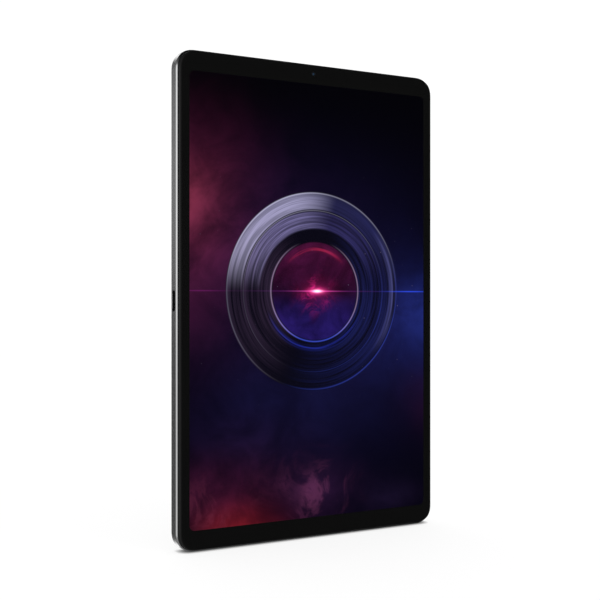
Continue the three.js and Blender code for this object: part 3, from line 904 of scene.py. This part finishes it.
def antenna_window(node):
    """A plastic insert, flush with the back, that lets radio through the metal."""
    size = size_of(node)
    front = depth_of(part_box(node)[0].y)
    section = rounded([(0.4, front, 0), (0, front, 0.05), (0, THICKNESS, 0.08), (0.6, THICKNESS, 0)])
    shape = slab(size.x, size.z, 1.5, 8)
    piece = solid(
        f"{node}_insert",
        lambda mesh: shaped(mesh, section, shape, in_line_with(node)),
        materials=(looks["antenna_plastic"],),
    )
    return stands_for(piece, node)


antenna_window("top_antenna_window")
antenna_window("bottom_antenna_window")

# ---------------------------------------------------------------- display frame, glass and screen


def display_frame():
    """The plastic ring that holds the glass, with a rib that reaches in behind it."""
    section = rounded([
        (0.75, 0.75, 0.1),
        (0.75, 1.35, 0.05),
        (1.8, 1.35, 0.05),
        (1.8, 2.12, 0.08),
        (2.6, 2.12, 0.08),
        (2.6, 1.35, 0.05),
        (3.2, 1.35, 0.05),
        (3.2, 0.75, 0.05),
    ], steps=3, closed=True)
    return solid(
        "display_frame_ring",
        lambda mesh: shaped(mesh, section, outline, in_front_view(), closed=True),
        materials=(looks["black_plastic"],),
    )


def glass_edge(start=0.95, end=2.35, drop=0.42, steps=10):
    """The curved front edge of the glass, from its side wall up to its flat front."""
    arc = []
    for step in range(steps + 1):
        angle = step / steps * math.pi / 2
        arc.append((end - (end - start) * math.cos(angle), drop - drop * math.sin(angle)))
    return arc


def cover_glass():
    """The glass with its black border; the lit window is a shallow seat that the screen fills."""
    rim = [(1.5, 0.7), (1.05, 0.7), (0.95, 0.62)] + glass_edge() + [(2.7, 0.0)]
    loops = [(outline(inset), depth) for inset, depth in rim]
    loops += [(window(-0.2), 0.0), (window(0), 0.0), (window(0), WINDOW_DEPTH)]
    glass = solid(
        "cover_glass_sheet",
        lambda mesh: loft(mesh, loops, in_front_view()),
        materials=(looks["cover_glass"],),
    )
    hole = cutter([(0, -0.5), (0, 1.2)], disc(FRONT_LENS_RADIUS + 0.04), in_line_with("front_camera"))
    return combine(glass, [hole], "DIFFERENCE")


def screen():
    """The lit window, a hair behind the front of the glass."""
    loops = [(window(0.02), WINDOW_DEPTH - 0.02), (window(0.02), 0.004), (window(0.3), 0.004)]
    return solid(
        "screen_image",
        lambda mesh: loft(mesh, loops, in_front_view()),
        materials=(looks["screen"],),
    )


def front_camera():
    """The module behind the border, with its barrel and small round lens in a hole in the glass."""
    size = size_of("front_camera")
    where = in_line_with("front_camera")
    back = depth_of(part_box("front_camera")[1].y)
    body = rounded([(0.4, 2.85, 0), (0, 2.85, 0.15), (0, back, 0.2), (0.4, back, 0)])
    barrel = rounded([
        (0, 2.9, 0),
        (0, 0.12, 0.1),
        (0.5, 0.12, 0.05),
        (0.55, 0.35, 0),
        (0.55, 2.9, 0),
    ])
    dome = [(0.53, 2.88), (0.53, 0.34), (0.62, 0.26), (0.75, 0.20), (0.9, 0.17), (1.02, 0.16)]
    return solid(
        "front_camera_module",
        lambda mesh: shaped(mesh, body, slab(size.x, size.z, 0.6, 6), where),
        lambda mesh: shaped(mesh, barrel, disc(FRONT_LENS_RADIUS), where, closed=True),
        lambda mesh: shaped(mesh, dome, disc(FRONT_LENS_RADIUS), where, paint=1),
        materials=(looks["black_plastic"], looks["front_lens"]),
    )


stands_for(display_frame(), "display_frame")
stands_for(cover_glass(), "cover_glass")
stands_for(screen(), "lcd_panel")
stands_for(front_camera(), "front_camera")

# ---------------------------------------------------------------- USB-C sockets


def socket_shell(name, where):
    """A drawn steel cup with a rolled lip, open at its mouth."""
    bore = stadium(*PORT_BORE, PORT_STEPS)
    section = rounded([
        (0, 8.5, 0),
        (0, WALL + 0.06, 0.12),
        (-0.3, WALL + 0.06, 0.12),
        (-0.3, 9.0, 0.1),
        (0.3, 9.0, 0),
    ])
    return solid(name, lambda mesh: shaped(mesh, section, bore, where), materials=(looks["steel"],))


def socket_tongue(name, where):
    """The contact tongue with its thicker base and two rows of gilt contacts."""
    stem = rounded([(0.3, WALL + 1.0, 0), (0, WALL + 1.0, 0.2), (0, WALL + 6, 0), (0.1, WALL + 6, 0)])
    base = rounded([(0.3, WALL + 5, 0), (0, WALL + 5, 0.1), (0, WALL + 6.7, 0), (0.3, WALL + 6.7, 0)])
    contact = [(0.02, WALL + 1.35), (0, WALL + 1.45), (0, WALL + 4.6), (0.02, WALL + 4.7)]
    contact_count = 12
    contact_pitch = 0.5

    def contacts(mesh):
        for i in range(contact_count):
            x = (i - (contact_count - 1) / 2) * contact_pitch
            for side in (-1, 1):
                pad = where @ Matrix.Translation((x * MM, 0, side * 0.35 * MM))
                shaped(mesh, contact, slab(0.26, 0.05, 0.02, 2), pad, paint=1)

    return solid(
        name,
        lambda mesh: shaped(mesh, stem, slab(6.7, 0.7, 0.3, 4), where),
        lambda mesh: shaped(mesh, base, slab(6.9, 1.9, 0.5, 4), where),
        contacts,
        materials=(looks["black_plastic"], looks["gold"]),
    )


for prefix, where in (("side", on_left(HEIGHT / 2 / MM)), ("bottom", on_bottom(0, PORT_AXIS))):
    stands_for(socket_shell(f"{prefix}_usb_cup", where), f"{prefix}_usb_shell")
    stands_for(socket_tongue(f"{prefix}_usb_contacts", where), f"{prefix}_usb_tongue")

# ---------------------------------------------------------------- buttons


def button(name, node, length, dip):
    """A capsule with polished edges, proud of the wall, and the flange that keeps it in.

    A dip is a short groove in its middle, for the finger to find.
    """
    middle = centre_of(node).z / MM
    low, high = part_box(node)
    proud = (HALF_WIDTH - high.x) / MM
    inner = (HALF_WIDTH - low.x) / MM
    flange = inner - 0.42
    where = on_right(middle)
    cap = rounded([
        (0.4, flange, 0),
        (0, flange, 0),
        (0, proud + 0.16, 0),
        (0.16, proud, 0.05),
        (0.42, proud, 0),
    ])
    stop = rounded([(0.3, flange, 0), (0, flange, 0.1), (0, inner, 0.1), (0.3, inner, 0)])
    piece = solid(
        name,
        lambda mesh: shaped(mesh, cap, stadium(length, BUTTON_HEIGHT, 10), where),
        lambda mesh: shaped(mesh, stop, slab(length + 1.8, 2.2, 0.5, 4), where),
        materials=(looks["housing_metal"], looks["polished_metal"]),
    )
    for face in piece.data.polygons:
        reach = (HALF_WIDTH - face.center.x) / MM
        if proud < reach < proud + 0.17 and 0.2 < face.normal.x < 0.95:
            face.material_index = 1
    if dip:
        groove = cutter([(0, -0.6), (0, proud + 0.07)], stadium(length * 0.16, 0.5, 6), where)
        combine(piece, [groove], "DIFFERENCE")
    return stands_for(piece, node)


button("power_button_cap", "power_button", POWER_LENGTH, dip=False)
button("volume_rocker_cap", "volume_rocker", VOLUME_LENGTH, dip=True)

# ---------------------------------------------------------------- card tray


def card_tray():
    """The drawer's head, flush with the wall, and the frame that carries the card."""
    low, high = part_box("card_tray")
    middle = (low.z + high.z) / 2 / MM
    size = size_of("card_tray")
    where = on_right(middle)
    length = size.x
    pin_hole_offset = 6.6
    head = rounded([(0.3, 1.5, 0), (0, 1.5, 0.1), (0, 0, 0.1), (0.3, 0, 0)])
    tray = solid(
        "card_tray_drawer",
        lambda mesh: shaped(mesh, head, stadium(size.z, size.y, 10), where),
        materials=(looks["housing_metal"],),
    )
    frame_place = where @ Matrix.Translation((-1.5 * MM, 0, 0))
    plate_section = rounded([(0.3, 1.3, 0), (0, 1.3, 0.05), (0, length, 0.3), (0.5, length, 0)])
    plate = cutter(plate_section, slab(12.2, 0.8, 0.15, 3), frame_place)
    combine(tray, [plate], "UNION")
    pocket = cutter([(0, 2.6), (0, length - 1)], slab(10.8, 3, 0.1, 2), frame_place)
    pin_hole = mouth(disc(0.5), on_right(middle + pin_hole_offset), 0.08, 4)
    return combine(tray, [pocket, pin_hole], "DIFFERENCE")


stands_for(card_tray(), "card_tray")

# ---------------------------------------------------------------- rear camera and flash


def camera_ring():
    """The turned ring: a neck through the back plate and a proud rim with a polished chamfer."""
    proud = depth_of(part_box("rear_camera_ring")[1].y)
    rim = size_of("rear_camera_ring").x / 2
    shape = disc(rim, 20)
    section = rounded([
        (rim - 4.2, 6.75, 0.05),
        (rim - 5.3, 6.75, 0.05),
        (rim - 5.3, THICKNESS + 0.05, 0),
        (0, THICKNESS + 0.05, 0.05),
        (0, proud - 0.3, 0.08),
        (0.3, proud, 0.08),
        (rim - 4.8, proud, 0.05),
        (rim - 4.8, 7.7, 0),
        (rim - 4.2, 7.7, 0.05),
    ], steps=3, closed=True)
    ring = solid(
        "rear_camera_bezel",
        lambda mesh: shaped(mesh, section, shape, in_line_with("rear_camera_ring"), closed=True),
        materials=(looks["dark_steel"], looks["polished_metal"]),
    )
    for face in ring.data.polygons:
        if proud - 0.32 < depth_of(face.center.y) < proud - 0.01 and 0.3 < face.normal.y < 0.95:
            face.material_index = 1
    return ring


def camera_glass():
    """The black margin of the lens cover; its clear middle is left open, so that the lens shows."""
    section = rounded([
        (0, 7.75, 0.05),
        (0, 8.3, 0.12),
        (1.9, 8.3, 0.05),
        (1.9, 7.75, 0.05),
    ], steps=3, closed=True)
    shape = disc(CAMERA_GLASS_RADIUS, 20)
    return solid(
        "rear_camera_cover",
        lambda mesh: shaped(mesh, section, shape, in_line_with("rear_camera_ring"), closed=True),
        materials=(looks["camera_glass"],),
    )


def camera_lens():
    """The focusing barrel: stepped rings round a domed front element."""
    where = in_line_with("rear_camera_ring")
    shape = disc(FOCUS_LENS_RADIUS, 20)
    front = depth_of(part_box("rear_camera_lens")[0].y)
    back = depth_of(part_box("rear_camera_lens")[1].y)
    barrel = rounded([
        (0.5, front, 0),
        (0, front, 0.1),
        (0, back, 0.1),
        (0.35, back, 0.03),
        (0.4, back - 0.35, 0.03),
        (0.75, back - 0.35, 0.03),
        (0.8, back - 0.7, 0.03),
        (1.2, back - 0.7, 0),
    ], steps=3)
    dome = [(1.15, back - 1.2), (1.15, back - 0.68)]
    for step in range(1, 8):
        angle = step / 8 * math.pi / 2
        inset = FOCUS_LENS_RADIUS - 1.85 * math.cos(angle)
        dome.append((inset, back - 0.68 + 0.5 * math.sin(angle)))
    return solid(
        "rear_camera_focus_lens",
        lambda mesh: shaped(mesh, barrel, shape, where),
        lambda mesh: shaped(mesh, dome, shape, where, paint=1),
        materials=(looks["black_plastic"], looks["camera_glass"]),
    )


def flash_lens():
    """A clear cap with fine stepped rings."""
    back = depth_of(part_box("flash_lens")[1].y)
    front = depth_of(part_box("flash_lens")[0].y)
    section = [(0.2, front), (0, front + 0.1), (0, back - 0.1), (0.08, back)]
    for ring in range(5):
        inner = 0.25 + ring * 0.22
        section += [(inner, back), (inner + 0.04, back - 0.06), (inner + 0.18, back - 0.02)]
    return solid(
        "flash_lens_cap",
        lambda mesh: shaped(mesh, section, disc(FLASH_RADIUS, 10), in_line_with("flash_lens")),
        materials=(looks["clear_plastic"],),
    )


stands_for(camera_ring(), "rear_camera_ring")
stands_for(camera_glass(), "rear_camera_glass")
stands_for(camera_lens(), "rear_camera_lens")
stands_for(flash_lens(), "flash_lens")

# ---------------------------------------------------------------- floor, light and camera

# The camera: lens in millimetres, heading in degrees from the screen's axis, the rest in metres
CAMERA_LENS = 63.97
CAMERA_HEADING = 29.62
CAMERA_DISTANCE = 0.4728
CAMERA_ASIDE = 0.00418
CAMERA_RAISE = 0.0003

# Strengths of the world's light, on surfaces and in the darkest reflections
SWEEP_GLOW = 1.05
ROOM_GLOW = 0.012

# The floor, in millimetres, and the reach in metres of the shade where the tablet stands on it
FLOOR_RADIUS = 2600
FLOOR_THICKNESS = 4.0
FLOOR_GLOW = 0.81
CONTACT_SHADE = 0.0025


def stage_floor():
    """A plain pale floor, wide enough to meet the background, that darkens only at the contact."""
    look = Look("floor", Roughness=0.9, Specular_IOR_Level=0.1)
    tone = look.noise(3.0, 2.0)
    look.set(Base_Color=look.mix(tone, (0.195, 0.195, 0.195), (0.205, 0.205, 0.205)))
    contact = look.tree.nodes.new("ShaderNodeAmbientOcclusion")
    contact.inputs["Distance"].default_value = CONTACT_SHADE
    open_sky = Value(look.tree, contact.outputs["AO"])
    look.set(Emission_Color=(1.0, 1.0, 1.0), Emission_Strength=open_sky * FLOOR_GLOW)
    edge = disc(FLOOR_RADIUS, 16)(0)
    where = place((0, 0, 0), (1, 0, 0), (0, 0, -1), (0, 1, 0))
    floor = solid(
        "floor",
        lambda mesh: loft(mesh, [(edge, 0.0), (edge, FLOOR_THICKNESS)], where),
        materials=(look.material,),
    )
    floor.visible_glossy = False


def panel(name, position, target, size, power):
    """A soft light panel that faces a target, and shows in no reflection."""
    data = bpy.data.lights.new(name, "AREA")
    data.shape = "RECTANGLE"
    data.size, data.size_y = size
    data.energy = power
    lamp = bpy.data.objects.new(name, data)
    bpy.context.scene.collection.objects.link(lamp)
    lamp.location = position
    lamp.rotation_euler = (Vector(target) - Vector(position)).to_track_quat("-Z", "Y").to_euler()
    lamp.visible_camera = False
    lamp.visible_glossy = False


def studio_world():
    """A white sweep that lights everything evenly, and soft cards that only show in reflections."""
    world = bpy.data.worlds.new("studio")
    world.use_nodes = True
    world.cycles.sampling_method = "NONE"
    tree = world.node_tree
    background = tree.nodes["Background"]
    coordinates = tree.nodes.new("ShaderNodeTexCoord")
    split = tree.nodes.new("ShaderNodeSeparateXYZ")
    tree.links.new(coordinates.outputs["Generated"], split.inputs[0])
    x, y, z = (Value(tree, socket) for socket in split.outputs)

    def card(direction, core, rim):
        """A round soft card; core and rim are its inner and outer angles in degrees."""
        axis = Vector(direction).normalized()
        facing = x * axis.x + y * axis.y + z * axis.z
        return facing.ramp(math.cos(math.radians(rim)), math.cos(math.radians(core)))

    # A dim room, lighter behind the tablet's left side and in front of it on the left
    room = x * -0.6 + y * 0.5 - z * 0.3
    cards = room.ramp(-0.1, 0.6, ROOM_GLOW, 0.27) + y.ramp(-0.2, -0.9) * x.ramp(0.35, -0.5, 0.0, 0.35)

    # For the chamfer of the left long side
    cards += card((-0.92, -0.40, 0), 16, 25) * z.ramp(-0.16, 0.12, 0.45, 0.85)

    # For the left wall, which is lightest a little above its middle
    wall = card((-0.40, 0.92, 0), 14, 26) * x.ramp(-0.25, -0.36)
    wall *= z.ramp(-0.05, 0.11, 0.0, 0.84)
    wall *= z.ramp(0.28, 0.12, 0.35, 1.0)
    cards += wall

    # An upright strip behind, for the round corners and the edge of the back
    strip = x - 0.06
    cards += (strip * strip).ramp(0.045, 0.02) * y.ramp(0.6, 0.75) * 2.2

    # For the right wall, and for the back and the right wall seen from above
    cards += card((1, 0, 0), 12, 24) * 0.6
    cards += card((0.66, 0.69, -0.30), 12, 22) * 1.1

    path = tree.nodes.new("ShaderNodeLightPath")
    glossy = Value(tree, path.outputs["Is Glossy Ray"])
    feed(tree, background.inputs["Strength"], glossy * (cards - SWEEP_GLOW) + SWEEP_GLOW)
    background.inputs["Color"].default_value = (1, 1, 1, 1)
    bpy.context.scene.world = world


def camera():
    """Level with the middle of the tablet, to the left of the screen's axis."""
    data = bpy.data.cameras.new("camera")
    data.lens = CAMERA_LENS
    data.sensor_width = 36.0
    data.clip_start = 0.01
    lens = bpy.data.objects.new("camera", data)
    bpy.context.scene.collection.objects.link(lens)
    heading = math.radians(CAMERA_HEADING)
    forward = Vector((math.sin(heading), math.cos(heading), 0))
    aside = Vector((math.cos(heading), -math.sin(heading), 0))
    middle = Vector((0, 0, HEIGHT / 2 + CAMERA_RAISE))
    lens.location = middle - forward * CAMERA_DISTANCE - aside * CAMERA_ASIDE
    lens.rotation_euler = forward.to_track_quat("-Z", "Y").to_euler()
    bpy.context.scene.camera = lens


stage_floor()
panel("key", position=(0.5, -0.9, 1.2), target=(0, 0, 0.1), size=(0.5, 0.5), power=2)
studio_world()
camera()
bpy.context.scene.view_settings.view_transform = "Standard"
